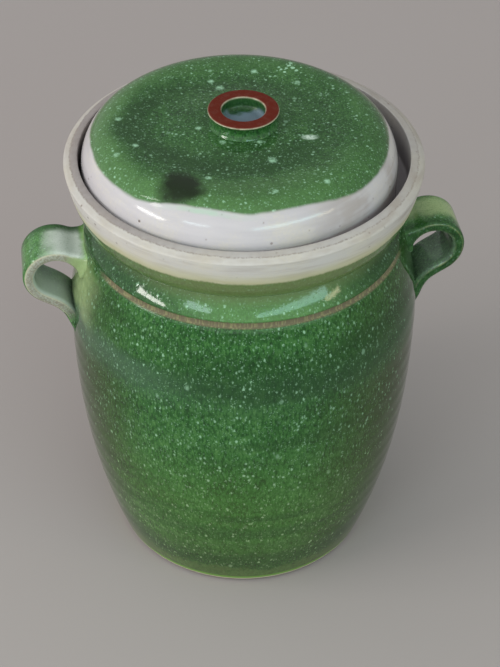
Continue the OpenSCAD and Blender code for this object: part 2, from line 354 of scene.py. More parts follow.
def hump(value, middle, width):
    """Bell curve that is 1 at the middle: e to minus the square of the distance from it in widths."""
    return np.exp(-((value - middle) / width) ** 2)


# Meshes

def strips(rows, columns, closed_rows):
    """Four-sided faces of a grid whose columns close round, and whose rows close as well if asked."""
    last = rows if closed_rows else rows - 1
    i, j = np.meshgrid(np.arange(last), np.arange(columns), indexing="ij")
    ahead = (i + 1) % rows
    beside = (j + 1) % columns
    corners = [i * columns + j, i * columns + beside, ahead * columns + beside, ahead * columns + j]
    return np.stack(corners, axis=-1).reshape(-1, 4)


def fan(first, columns, tip, turned):
    """Three-sided faces from a ring of points to one tip point."""
    j = np.arange(columns)
    beside = (j + 1) % columns
    ring = [first + beside, first + j] if turned else [first + j, first + beside]
    return np.stack([*ring, np.full(columns, tip)], axis=-1)


def capped(rows, columns):
    """Faces of a grid whose first and last rows close in two tip points that follow the grid."""
    last = (rows - 1) * columns
    tip = rows * columns
    return [strips(rows, columns, False), fan(0, columns, tip, True), fan(last, columns, tip + 1, False)]


def finished_piece(name, points, faces, marks, material, body, nodes):
    """Puts points, faces and point marks into a smooth mesh whose faces point outwards, and joins it to the
    frame. The sign of the enclosed volume tells whether the faces have to be turned round."""
    volume = 0.0
    for group in faces:
        for k in range(1, group.shape[1] - 1):
            a, b, c = points[group[:, 0]], points[group[:, k]], points[group[:, k + 1]]
            volume += np.einsum("ij,ij->", a, np.cross(b, c))
    if volume < 0:
        faces = [group[:, ::-1] for group in faces]
    mesh = bpy.data.meshes.new(name)
    mesh.from_pydata(points.tolist(), [], [face for group in faces for face in group.tolist()])
    for mark, values in marks.items():
        layer = mesh.attributes.new(mark, "FLOAT", "POINT")
        layer.data.foreach_set("value", np.asarray(values, np.float32).ravel())
    mesh.shade_smooth()
    mesh.materials.append(material)
    piece = bpy.data.objects.new(name, mesh)
    bpy.context.scene.collection.objects.link(piece)
    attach(piece, body)
    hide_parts(*nodes)
    return piece


def turned_grid(radius, height, middle=(0.0, 0.0)):
    """Points of a turned surface: point (i, j) lies at radius[i, j] from the axis, at the j-th angle and at
    height[i, j]."""
    turns = radius.shape[1]
    turn = 2 * np.pi * np.arange(turns) / turns
    x = middle[0] + radius * np.cos(turn)
    y = middle[1] + radius * np.sin(turn)
    return np.stack([x, y, height], axis=-1).reshape(-1, 3)


def turned_solid(outline, turns=TURNS, middle=(0.0, 0.0), offset=None):
    """Turned surface of an outline that starts and ends on the axis. The offset, one value per row and
    angle, is added to the radius. Returns the points, ending with the two tips, and the faces."""
    rows = outline[1:-1]
    radius = np.repeat(rows[:, :1], turns, axis=1)
    if offset is not None:
        radius = radius + offset[1:-1]
    height = np.repeat(rows[:, 1:], turns, axis=1)
    tips = np.array([[*middle, outline[0, 1]], [*middle, outline[-1, 1]]])
    points = np.vstack([turned_grid(radius, height, middle), tips])
    return points, capped(len(rows), turns)


def row_mark(values, turns=TURNS):
    """One value per outline row, spread over the points of a turned solid."""
    return np.concatenate([np.repeat(values[1:-1], turns), values[[0, -1]]])


# Node writing

class Wire:
    """An output of a node. Arithmetic on it adds Math nodes."""

    def __init__(self, recipe, socket):
        self.recipe = recipe
        self.socket = socket

    def beside(self, output):
        """Another output of the same node."""
        return Wire(self.recipe, self.socket.node.outputs[output])

    def maths(self, operation, first, second):
        return self.recipe.node("ShaderNodeMath", {"operation": operation}, {0: first, 1: second})

    def __add__(self, other):
        return self.maths("ADD", self, other)

    def __radd__(self, other):
        return self.maths("ADD", other, self)

    def __sub__(self, other):
        return self.maths("SUBTRACT", self, other)

    def __rsub__(self, other):
        return self.maths("SUBTRACT", other, self)

    def __mul__(self, other):
        return self.maths("MULTIPLY", self, other)

    def __rmul__(self, other):
        return self.maths("MULTIPLY", other, self)

    def __or__(self, other):
        return self.maths("MAXIMUM", self, other)

    def __abs__(self):
        return self.maths("ABSOLUTE", self, 0.0)


class Recipe:
    """Nodes of one material or world, written as expressions on wires."""

    def __init__(self, owner):
        owner.use_nodes = True
        self.owner = owner
        self.tree = owner.node_tree
        self.tree.nodes.clear()

    def node(self, kind, settings, sockets, output=0):
        """Adds a node with its settings, then its sockets' values or links, and returns one output."""
        made = self.tree.nodes.new(kind)
        for name, value in settings.items():
            setattr(made, name, value)
        for name, value in sockets.items():
            if isinstance(value, Wire):
                self.tree.links.new(value.socket, made.inputs[name])
            else:
                made.inputs[name].default_value = value
        return Wire(self, made.outputs[output] if len(made.outputs) else None)

    def place(self):
        """Place on the piece, in millimetres."""
        return stretched(self.node("ShaderNodeTexCoord", {}, {}, "Object"), [1 / MM] * 3)

    def mark(self, name):
        """A point mark of the mesh."""
        return self.node("ShaderNodeAttribute", {"attribute_name": name}, {}, "Fac")

    def finish(self, base, roughness, height, bare=None):
        """Surface with a base colour, a roughness and a height in millimetres that bumps it. Where it is
        bare, it is matt clay that hardly shines."""
        sockets = {"Strength": 1.0, "Distance": MM, "Height": height}
        bump = self.node("ShaderNodeBump", {}, sockets, "Normal")
        sockets = {
            "Base Color": rgba(base), "Roughness": roughness, "Normal": bump, "Specular IOR Level": 0.3}
        shader = self.node("ShaderNodeBsdfPrincipled", {}, sockets, "BSDF")
        if bare is not None:
            sockets.update({"Roughness": 0.8, "Specular IOR Level": 0.12})
            matt = self.node("ShaderNodeBsdfPrincipled", {}, sockets, "BSDF")
            shader = self.node("ShaderNodeMixShader", {}, {0: bare, 1: shader, 2: matt})
        self.node("ShaderNodeOutputMaterial", {}, {"Surface": shader})
        return self.owner


def recipe_for(name):
    """Recipe of a new material."""
    return Recipe(bpy.data.materials.new(name))


def rgba(value):
    """A colour with full opacity, or the wire of a colour as it is."""
    return value if isinstance(value, Wire) else (*value, 1.0)


def vector_maths(operation, vector, *others, output=0):
    """Vector arithmetic on a wire."""
    sockets = dict(enumerate([vector, *others]))
    return vector.recipe.node("ShaderNodeVectorMath", {"operation": operation}, sockets, output)


def stretched(vector, factors):
    """A vector whose parts are multiplied by factors."""
    return vector_maths("MULTIPLY", vector, factors)


def warped(vector, grain, amount):
    """A vector that noise pushes about by up to half an amount."""
    push = vector.recipe.node("ShaderNodeTexNoise", {}, {"Vector": vector, "Scale": 1 / grain}, "Color")
    return vector_maths("MULTIPLY_ADD", push, [amount] * 3, vector)


def distance(vector, point):
    """Distance of a vector from a point."""
    return vector_maths("DISTANCE", vector, point, output="Value")


def split(vector):
    """The three parts of a vector."""
    first = vector.recipe.node("ShaderNodeSeparateXYZ", {}, {0: vector}, "X")
    return first, first.beside("Y"), first.beside("Z")


def noise(vector, grain, detail=2.0):
    """Noise from 0 to 1 whose grains are about as large as the grain."""
    sockets = {"Vector": vector, "Scale": 1 / grain, "Detail": detail}
    return vector.recipe.node("ShaderNodeTexNoise", {}, sockets, "Fac")


def ramp(value, low, high, start=0.0, end=1.0):
    """Goes smoothly from start at low to end at high."""
    sockets = {"Value": value, "From Min": low, "From Max": high, "To Min": start, "To Max": end}
    return value.recipe.node("ShaderNodeMapRange", {"interpolation_type": "SMOOTHSTEP"}, sockets)


def fall(value, low, high):
    """Falls smoothly from 1 at low to 0 at high."""
    return ramp(value, low, high, 1.0, 0.0)


def band(value, low, high, edge):
    """1 between low and high, with soft edges."""
    return ramp(value, low - edge, low + edge) * fall(value, high - edge, high + edge)


def mix(share, first, second):
    """Colour between two colours, at least one of which, or the share, is a wire."""
    wire = next(part for part in (share, first, second) if isinstance(part, Wire))
    sockets = {0: share, 6: rgba(first), 7: rgba(second)}
    return wire.recipe.node("ShaderNodeMix", {"data_type": "RGBA"}, sockets, 2)


def coated(under, *coats):
    """A colour with others laid over it one after the other, each by its share."""
    for share, over in coats:
        under = mix(share, under, over)
    return under


def scattered(vector, spacing, size, chance):
    """Soft flecks in the middles of a share of the cells that fill space. The spacing is the width of a
    cell, and the size is the fleck's radius as a share of it. Brightness and size differ from cell to
    cell."""
    sockets = {"Vector": vector, "Scale": 1 / spacing}
    cell = vector.recipe.node("ShaderNodeTexVoronoi", {}, sockets, "Distance")
    first = vector.recipe.node("ShaderNodeSeparateColor", {}, {0: cell.beside("Color")}, "Red")
    second = first.beside("Green")
    chosen = ramp(first, 1 - chance - 0.02, 1 - chance + 0.02)
    bright = 0.2 + 0.8 * second * second
    reach = size * (0.7 + 0.6 * second)
    return fall(cell - reach, -0.8 * size, 0.0) * chosen * bright


def spot(vector, point, size, softness=0.6):
    """Round spot at a point."""
    return fall(distance(vector, point), size * (1 - softness), size * (1 + softness))


# Glazes

# Pale crystals on the lid: place from the middle of the pot and size
CRYSTALS = (
    (-25, -2, 1.5), (-14, -17, 1.5), (5.5, -19, 1.5), (10, -35, 2), (-25, -46.5, 1.5), (34.5, -58.5, 1.5),
    (-70, -20.5, 1.5), (-59.5, -13.5, 1.5), (-12.5, 45.5, 1.5), (-8.5, 38, 2), (12.5, 52, 1.5),
    (7, -64, 1.5), (-66.5, 12, 1.5), (34.5, 37.5, 1.5),
)


def speckled_green(place, glaze, drawn, pale):
    """Green glaze with fine streaks that are drawn downwards, soft clouds, and pale dashes, dots and a few
    large blooms. Returns the colour without flecks and the mask of the flecks."""
    loose = warped(place, 1.3, 1.6)
    tear = stretched(loose, (1.0, 1.0, drawn))
    streak = stretched(loose, (1.0, 1.0, 0.5 * drawn))
    tone = 0.6 * noise(streak, 1.1) + 0.2 * noise(tear, 5) + 0.2 * noise(place, 34, 3.0)
    green = coated(
        glaze.deep,
        (ramp(tone, 0.34, 0.54), glaze.green),
        (ramp(tone, 0.47, 0.7) * pale, glaze.light))
    dots = scattered(tear, 2.6, 0.29, 0.85) * 0.75
    dashes = scattered(streak, 1.5, 0.3, 0.7) * 0.5
    blooms = scattered(tear, 8, 0.17, 0.5) * 0.5
    grains = scattered(place, 1.1, 0.34, 0.7) * 0.45
    return green, dots | dashes | blooms | grains


def white_glaze(place, glaze, main):
    """White glaze with soft grey and cream clouds and small dark pinholes. Returns its colour and the
    pinholes."""
    cloud = 0.7 * noise(place, 26, 4.0) + 0.3 * noise(place, 1.5)
    holes = scattered(place, 6, 0.14, 0.75)
    white = coated(main, (ramp(cloud, 0.42, 0.7) * 0.4, glaze.cream), (holes * 0.8, glaze.pinhole))
    return white, holes


def olive_shade_share(x):
    """Share of olive, painted shade and reflection under the gutter's overhang, in the green close to the
    white gutter, less towards the sides.
    """
    return ramp(abs(x), 30, 80, 0.75, 0.45)


def pot_glaze(glaze, pot):
    """Speckled green outside, olive band over the foot, bare groove line, white inside, red clay below."""
    recipe = recipe_for("pot_glaze")
    place = recipe.place()
    x, y, z = split(place)
    green, flecks = speckled_green(place, glaze, 0.65, 0.55)
    wave = noise(place, 34) - 0.5
    mottle = noise(place, 4, 3.0) - 0.5
    beside = ramp(x, 8, 90) | ramp(x, -97, -60, 0.9, 0.0)

    # Lower wall: yellower and lighter, the lightening painted light for the shade it gets from facing down,
    # with soft dark rings from throwing. Browner towards the sides: a painted reflection of a brown floor
    low = fall(z + 30 * wave, 60, 150)
    rings = noise(stretched(place, (0.08, 0.08, 1.0)), 11)
    below = ramp(z, 150, 172, 1.0, 0.5)
    green = coated(
        green,
        ((1 - low) * 0.3, glaze.still),
        (low * 0.33, glaze.moss),
        (ramp(rings, 0.5, 0.64) * 0.35, glaze.deep),
        (beside * below * 0.9, glaze.umber))

    # Painted reflections at a wavy level: a bluish band, and a darker band over it that fades to the left.
    # Thin glaze at the left handle's roots
    dip = z + 16 * wave + 5 * mottle
    band_reflection = ramp(dip, 150, 170) * fall(dip, 175, 185)
    root = band(z + 20 * wave, 174, 207, 6) * fall(abs(y), 18, 44) * fall(x, -70, -50)
    green = coated(
        green,
        (band_reflection * ramp(x, -75, -25, 0.4, 0.12), glaze.band_reflection),
        (band(dip, 165, 193, 7) * ramp(x, -75, -25, 0.1, 0.5), glaze.deep),
        (root * (0.75 + 0.9 * mottle), glaze.thin))

    # Shoulder: painted light, lighter in front and darker at the sides, and olive close under the gutter as
    # painted shade and reflection under its overhang
    lit_front = fall(abs(x), 20, 72)
    on_shoulder = ramp(z, 211, 214)
    near_gutter = ramp(z + 4 * wave, 218, 227)
    green = coated(
        green,
        (on_shoulder * lit_front * 0.4, glaze.light),
        (on_shoulder * (1 - lit_front) * 0.5, glaze.deep),
        (near_gutter * olive_shade_share(x), glaze.olive))

    # Foot: dark mottled pool, then an olive band, then thin lines down to the clay
    edge = z + 14 * wave + 18 * mottle
    in_band = fall(edge, 13, 18)
    flecks = flecks * (1 - 0.7 * near_gutter) * (1 - 0.9 * in_band) * (1 - 0.45 * beside)
    green = coated(
        green,
        (ramp(z, 20, 60, 0.3, 0.0), glaze.umber),
        (band(edge, 17, 33, 7) * 0.4, glaze.deep),
        (flecks, mix(low * 0.7, glaze.fleck, glaze.thin)),
        (in_band * (0.3 + 0.6 * mottle), glaze.olive),
        (band(z, 3.4, 5.6, 0.9) * 0.8, glaze.lime),
        (band(z, 2.5, 3.5, 0.4) * 0.9, glaze.cream))

    # Groove line: bare between the handles, with teeth of glaze along its upper edge and pale ticks across
    rise = z - pot.groove_height / MM
    tooth = noise(stretched(place, (1.0, 1.0, 0.1)), 1.1, 1.0)
    between = fall(abs(x), 77, 84)
    bare = fall(rise + 2 * tooth, 2.0, 3.2) * ramp(rise, -2.3, -1.5) * between
    groove = mix(ramp(tooth, 0.45, 0.65) * 0.3, glaze.groove, glaze.straw)

    inside = recipe.mark("inside")
    clay = fall(z, 2.2, 2.6) * (1 - inside)
    base = coated(green, (bare * 0.9, groove), (inside, glaze.white), (clay, glaze.clay))
    dull = (bare * (1 - inside)) | clay
    relief = 0.04 * noise(place, 6, 1.0) + 0.05 * flecks + 0.05 * mottle * dull
    return recipe.finish(base, 0.07, relief, dull)


def gutter_glaze(glaze, gutter):
    """White glaze down to a wavy line on the underside, olive below it as painted shade and reflection
    under the overhang, and a greyer, worn crest.
    """
    recipe = recipe_for("gutter_glaze")
    place = recipe.place()
    x, _, z = split(place)
    white, holes = white_glaze(place, glaze, glaze.white)
    fine = noise(stretched(place, (1.0, 1.0, 0.4)), 1.2)
    mottle = noise(place, 4)
    rings = noise(stretched(place, (0.1, 0.1, 1.0)), 2.2)
    outer = recipe.mark("outer")
    crest = recipe.mark("crest")

    # Crest: greyer on top, tan where it turns over, worn in between. Below: tan rings, straw over the green
    loose = crest + 1.6 * (mottle - 0.5)
    grey = 0.25 + 0.4 * mottle + ramp(x, -80, -20, 0.5, 0.0)
    worn = band(loose, -4.2, -3.4, 0.5) * ramp(fine, 0.35, 0.6, 0.2, 1.0)
    edge = z - gutter.white_height / MM + 4 * (noise(place, 22) - 0.5)
    white = coated(
        white,
        (fall(loose, -4.4, -3.2) * grey, (glaze.tan + glaze.grey_and_shade) / 2),
        (band(crest, -3.5, 0.5, 1.5) * (0.1 + 0.4 * mottle), glaze.tan),
        (worn * 0.5, glaze.pinhole),
        (ramp(rings, 0.45, 0.7) * outer * ramp(x, 10, 80, 0.3, 0.5), glaze.tan),
        (outer * ramp(x, 30, 90, 0.0, 0.25), glaze.tan),
        # Painted shade down in the trough
        (recipe.mark("trough") * 0.6, glaze.grey_and_shade),
        (fall(edge, 0.0, 9) * outer * 0.6, glaze.straw))

    # Below the white line: speckled green with olive over it, painted shade and reflection under the
    # overhang
    speckled, flecks = speckled_green(place, glaze, 0.65, 0.55)
    olive = coated(speckled, (olive_shade_share(x), glaze.olive), (flecks * 0.3, glaze.fleck))
    green = fall(edge + 1.2 * (fine - 0.5), -1.4, 0.9) * outer
    relief = 0.08 * noise(place, 6, 1.0) - 0.3 * holes * (1 - green) + 0.04 * fine
    return recipe.finish(mix(green, white, olive), 0.5 - 0.38 * green, relief)


def lid_glaze(glaze):
    """Green top that ends in a thick wavy edge on the rounded shoulder, lilac-white skirt, white inside."""
    recipe = recipe_for("lid_glaze")
    place = recipe.place()
    x, y, z = split(place)
    green, flecks = speckled_green(place, glaze, 1.0, 0.55)
    wave = noise(place, 9, 3.0) - 0.5
    cloud = noise(place, 24, 3.0) - 0.5

    # Lighter shoulder with painted light added towards the front left, a darker ring inside it, strongest
    # at the front left, and a dull place in front
    oval = distance(stretched(place, (0.75, 1.0, 0.0)), (-4, 2, 0))
    far_out = ramp(recipe.mark("radius") + 16 * cloud, 60, 71)
    outer_zone = far_out | ramp(oval + 16 * cloud, 47, 60, 0.0, 0.7)
    to_left = ramp(x + 0.6 * y, -50, 45, 1.0, 0.4)
    ring = band(oval + 20 * cloud, 35, 47, 6) * to_left * (1 - 0.7 * far_out)
    dull = band(y, -44, -20, 8) * fall(abs(x), 25, 55)
    more = scattered(place, 4.6, 0.2, 0.6) * 0.6

    # Painted reflection of a dark thing at the front left, wider towards the edge
    aside = (x + 40) * ramp(y, -64, -44, 1.0, 1.5)
    ahead = y + 53
    pool = fall(aside * aside + ahead * ahead + 300 * wave, 60, 300)

    # Pale crystals, one of them a large star, and one cluster of small ones
    flat = stretched(place, (1.0, 1.0, 0.0))
    star = spot(stretched(place, (0.7, 1.3, 0.0)), (23, -21, 0), 2.5)
    pale = star
    for across, along, size in CRYSTALS:
        pale = pale | spot(flat, (across, along, 0), size)
    broken = ramp(noise(place, 1.4), 0.35, 0.6, 0.35, 1.0)
    cluster = spot(stretched(place, (0.7, 1.0, 0.0)), (22.5, 52.5, 0), 6, 0.2)
    beads = ramp(scattered(place, 2.6, 0.5, 1.0), 0.05, 0.4)
    green = coated(
        green,
        (outer_zone * (0.05 + 0.45 * to_left), glaze.light),
        (ring * 0.65, glaze.deep),
        (dull * 0.35, glaze.deep),
        (0.4, glaze.murk),
        ((flecks | more) * (1 - 0.3 * ring), glaze.fleck),
        # Painted dark reflection
        (pool * 0.96, glaze.dark_reflection),
        (((pale * broken) | (cluster * beads)) * 0.9, glaze.fleck),
        (star * broken * 0.7, glaze.ash))

    # Skirt: white, with painted shade low down where it sinks into the gutter, and a browner painted warm
    # reflection at the right
    white, holes = white_glaze(place, glaze, glaze.lilac)
    streaks = noise(stretched(place, (0.2, 0.2, 2.0)), 5, 3.0)
    right = ramp(x, 10, 50) * ramp(cloud + 0.3 * streaks, 0.05, 0.3)
    white = coated(
        white,
        (ramp(z, 243, 262, 0.4, 0.0), glaze.grey_and_shade),
        (ramp(streaks, 0.35, 0.75) * 0.12, glaze.grey_and_shade),
        (right * 0.55, glaze.tan))

    # Edge of the green, with a pale strip where it runs thin
    line = recipe.mark("edge") + 2.5 * (noise(place, 14) - 0.5)
    on_white = ramp(line, -1.2, 1.0)
    strip = band(line, 0.4, 3.0, 0.8) * recipe.mark("thin") * ramp(wave, -0.2, 0.2, 0.1, 0.5)
    bare = recipe.mark("bare")
    base = coated(green, (on_white, white), (strip, glaze.fleck), (bare, glaze.cream))
    roll = fall(line, -3.0, 0.4)
    relief = 0.04 * noise(place, 6, 1.0) + 0.3 * roll + 0.04 * flecks * (1 - on_white)
    return recipe.finish(base, 0.06 + 0.08 * on_white, relief - 0.2 * holes * on_white, bare)


def knob_glaze(glaze):
    """Bare red clay on top with thin pale edges, green glaze on the side and in the bowl, pooled on its
    floor."""
    recipe = recipe_for("knob_glaze")
    place = recipe.place()
    clay = recipe.mark("clay")
    bowl = recipe.mark("bowl")
    green, flecks = speckled_green(place, glaze, 1.0, 0.4)
    cloud = noise(place, 4, 3.0)
    grit = noise(place, 0.6)
    drawn_in = fall(split(place)[1] + 8 * (cloud - 0.5), 4, 9)
    warm = mix(ramp(0.5 * grit + 0.5 * cloud, 0.45, 0.65) * 0.06, glaze.clay, glaze.tan)
    base = coated(
        green,
        (flecks * 0.5, glaze.fleck),
        # Darker in the bowl: painted shade
        (0.35 + 0.35 * bowl, glaze.deep),
        (recipe.mark("pooled") * drawn_in, glaze.pool),
        (clay, warm),
        (recipe.mark("rim") * ramp(cloud, 0.35, 0.6, 0.35, 0.6), glaze.cream))
    relief = 0.06 * grit * clay + 0.04 * cloud + 0.04 * flecks * (1 - clay)
    return recipe.finish(base, 0.07 + 0.25 * bowl, relief, clay)


def handle_glaze(glaze, name, thin_root):
    """Green strap glaze, paler on the upper arm. The thin root adds a whitish patch on the upper arm, with
    a yellow-green border at the wall, and a bare front edge."""
    recipe = recipe_for(name)
    place = recipe.place()
    side = recipe.mark("side")
    out = recipe.mark("out")
    run = recipe.mark("run")
    green, flecks = speckled_green(place, glaze, 0.8, 0.6)
    cloud = noise(place, 12, 3.0) - 0.5
    fine = noise(place, 1.0)
    top = ramp(out, 0.3, 0.8)
    inner = fall(out, -0.8, -0.3)
    edge = (1 - top) * (1 - inner)
    front = fall(side, -0.3, 0.3)
    way = run + 0.1 * cloud
    off_wall = ramp(run, 0.03, 0.12) * fall(run, 0.72, 0.9)
    thin_inside = ramp(side + 0.6 * cloud, -0.4, 0.9, 1.0, 0.4) * off_wall
    lines = (band(out, 0.4, 0.62, 0.12) | band(out, -0.62, -0.4, 0.12)) * front * off_wall
    green = coated(
        green,
        (fall(way, 0.3, 0.6) * top * 0.2, glaze.light),
        (flecks * 0.8, glaze.fleck),
        (inner * thin_inside * (0.7 if thin_root else 0.2), glaze.ash))
    if thin_root:
        back = ramp(side + 0.5 * cloud, 0.3, 0.8)
        patch = ramp(way, 0.0, 0.05) * fall(way, 0.14, 0.27) * top * (1 - back)
        border = band(run + 0.06 * cloud, 0.0, 0.025, 0.015) * top
        specks = scattered(place, 2.4, 0.16, 0.6)
        beige = coated(glaze.tan, (ramp(fine, 0.3, 0.7) * 0.5, glaze.ash), (specks * 0.7, glaze.pinhole))
        at_root = fall(run, 0.05, 0.14) * (1 - top) * (1 - back)
        base = coated(
            green,
            (patch * ramp(fine, 0.2, 0.5, 0.7, 1.0), glaze.ash),
            (border * 0.7, glaze.lime),
            (back * top * 0.5, glaze.deep),
            (edge * front * off_wall * 0.75, beige),
            (at_root * 0.75, glaze.thin),
            (lines * 0.5, glaze.cream))
    else:
        streak = band(side + 0.8 * cloud, -0.3, 0.8, 0.3) * fall(way, 0.3, 0.5) * top
        shade = fall(side + 0.4 * cloud, -0.8, -0.4) * (top | edge)
        base = coated(
            green,
            (streak * ramp(fine, 0.2, 0.6, 0.6, 1.0), glaze.thin),
            (shade * 0.6, glaze.deep),
            (lines * ramp(cloud, -0.1, 0.15) * 0.35, glaze.straw))
    return recipe.finish(base, 0.09, 0.05 * noise(place, 5, 1.0) + 0.05 * flecks)


def stone_clay(glaze):
    """Unglazed fired clay with fine grit and a few iron specks."""
    recipe = recipe_for("stone_clay")
    place = recipe.place()
    cloud = noise(place, 16, 4.0)
    grit = noise(place, 0.9, 3.0)
    specks = scattered(place, 5, 0.12, 0.5)
    pale = ramp(0.6 * cloud + 0.4 * grit, 0.35, 0.7)
    base = coated(glaze.stone, (pale * 0.5, glaze.cream), (specks * 0.8, glaze.pinhole))
    return recipe.finish(base, 0.72 + 0.15 * grit, 0.15 * grit + 0.1 * cloud)


# Operators, one for each piece or pair of pieces and one for the stage

class CROCK_OT_throw_pot(bpy.types.Operator):
    """Turns the pot with its groove line, shoulder, neck and inside"""
    bl_idname = "crock.throw_pot"
    bl_label = "Throw Pot"

    def execute(self, context):
        pot = context.scene.crock_pot
        glaze = context.scene.crock_glaze
        groove_low = pot.groove_height - pot.groove_width / 2
        groove_bottom = pot.belly_radius - pot.groove_inset - pot.groove_depth
        heights = np.linspace(pot.base_bevel, groove_low, 120)
        wall = np.column_stack([pot.radius_at(heights), heights])
        quarter = pot.groove_width / 4
        lip = pot.neck_wall / 2
        mouth = pot.neck_radius - pot.neck_wall
        outside = np.vstack([
            [[0, 0], [pot.base_radius - pot.base_bevel, 0]],
            wall,
            [[groove_bottom, pot.groove_height - quarter], [groove_bottom, pot.groove_height + quarter]],
            pot.shoulder(np.linspace(0, 1, 20)),
            [[pot.neck_radius, pot.seat_height]],
            ellipse((pot.neck_radius - lip, pot.lip_height - lip), lip, 0, 180, 16)])
        spring = pot.roof_height - pot.roof_rise
        roof_width = pot.radius_at(spring) - pot.wall - mouth
        corner = pot.floor + pot.floor_fillet
        flat = pot.radius_at(corner) - pot.wall - pot.floor_fillet
        heights = np.linspace(spring, corner, 60)[1:-1]
        inside = np.vstack([
            ellipse((mouth, spring), (roof_width, pot.roof_rise), 90, 0, 30),
            np.column_stack([pot.radius_at(heights) - pot.wall, heights]),
            ellipse((flat, corner), pot.floor_fillet, 0, -90, 12),
            [[0, pot.floor]]])
        fine = softened(np.vstack([outside, inside]), 0.5 * MM)
        lip_top = int(np.argmax(fine[:, 1]))
        outline = np.vstack([thinned(fine[:lip_top], 240), thinned(fine[lip_top:], 80)])
        radius, height = outline.T
        on_neck = (radius < pot.neck_radius + 1 * MM) & (height > pot.seat_height)
        past_neck = (np.cumsum(on_neck) > 0).astype(float)

        # Throwing ridges climb the wall in a spiral, and slip fills the groove line beside the handles
        turn = np.arange(TURNS) / TURNS
        ridge = 0.5 + 0.5 * np.cos(2 * np.pi * (outline[:, 1:] / pot.ridge_pitch + turn))
        ridges_start = (15 * MM, 40 * MM)
        ridges_end = (206 * MM, 196 * MM)
        up_wall = smooth_step(*ridges_start, height) * smooth_step(*ridges_end, height)
        in_groove = smooth_step(2.2 * MM, 1.1 * MM, np.abs(height - pot.groove_height))
        slip_angles = np.radians([28, 20])
        by_handle = smooth_step(*np.cos(slip_angles), np.abs(np.cos(2 * np.pi * turn)))
        offset = pot.groove_depth * in_groove[:, None] * by_handle
        offset -= pot.ridge_depth * up_wall[:, None] * ridge
        points, faces = turned_solid(outline, offset=offset * (1 - past_neck)[:, None])
        finished_piece(
            "crock_pot", points, faces, {"inside": row_mark(past_neck)}, pot_glaze(glaze, pot),
            "crock", ["crock_body"])
        return {"FINISHED"}


class CROCK_OT_throw_gutter(bpy.types.Operator):
    """Turns the water gutter, with slip joining it to the shoulder and to the neck"""
    bl_idname = "crock.throw_gutter"
    bl_label = "Throw Gutter"

    def execute(self, context):
        pot = context.scene.crock_pot
        gutter = context.scene.crock_gutter
        glaze = context.scene.crock_glaze
        inner = pot.neck_radius - 0.1 * MM

        # Slip fills the crease from a share of the shoulder to a share of the underside
        slip_start = 0.72
        slip_end = 0.22
        slip_foot, crease = pot.shoulder(np.array([slip_start, 1.0]))
        slip_foot = slip_foot - 0.15 * MM

        # The underside rises, and the crest falls, by a power of the share of the way outwards
        share = np.linspace(slip_end, 1, 40)
        rise = gutter.rim_height - pot.seat_height
        underside = np.column_stack([
            crease[0] + (gutter.rim_radius - crease[0]) * share,
            pot.seat_height + rise * share ** (1 / gutter.flare_curve)])
        u = np.linspace(1, 0, 16)[1:]
        trough = gutter.rim_radius - gutter.wall
        crest = np.column_stack([
            trough + gutter.wall * u,
            gutter.rim_height + (gutter.crest_height - gutter.rim_height) * (1 - u ** gutter.crest_curve)])
        round_low = gutter.trough_fillet
        round_neck = gutter.neck_fillet
        outline = np.vstack([
            bent(slip_foot, crease, underside[0], 12)[:-1],
            underside,
            crest,
            ellipse((trough - round_low, gutter.floor_height + round_low), round_low, 0, -90, 6),
            ellipse((inner + round_neck, gutter.floor_height + round_neck), round_neck, -90, -180, 8),
            [[inner, slip_foot[1] - 1 * MM], [slip_foot[0] - 3 * MM, slip_foot[1] - 1 * MM]]])
        rows = soft_loop(outline, 0.45 * MM, 149)
        radius = np.repeat(rows[:, :1], TURNS, axis=1)
        height = np.repeat(rows[:, 1:], TURNS, axis=1)
        top = int(np.argmax(rows[:, 1]))
        run = run_along(rows)
        crest_edge = int(np.argmax(rows[:, 0] + rows[:, 1]))
        outer = (np.arange(len(rows)) <= top).astype(float)
        trough_shade = smooth_step(gutter.crest_height - 2 * MM, gutter.floor_height + 4 * MM, rows[:, 1])
        marks = {
            "outer": np.repeat(outer, TURNS),
            "crest": np.repeat(run[crest_edge] - run, TURNS) / MM,
            "trough": np.repeat(trough_shade * (1 - outer), TURNS)}
        finished_piece(
            "gutter_ring", turned_grid(radius, height), [strips(len(rows), TURNS, True)], marks,
            gutter_glaze(glaze, gutter), "crock", ["water_gutter"])
        return {"FINISHED"}


# Where the lid's green edge draws in: depth in millimetres, heading and width in degrees
DRAWN_IN = ((5.0, -114, 18), (4.0, -78, 20))


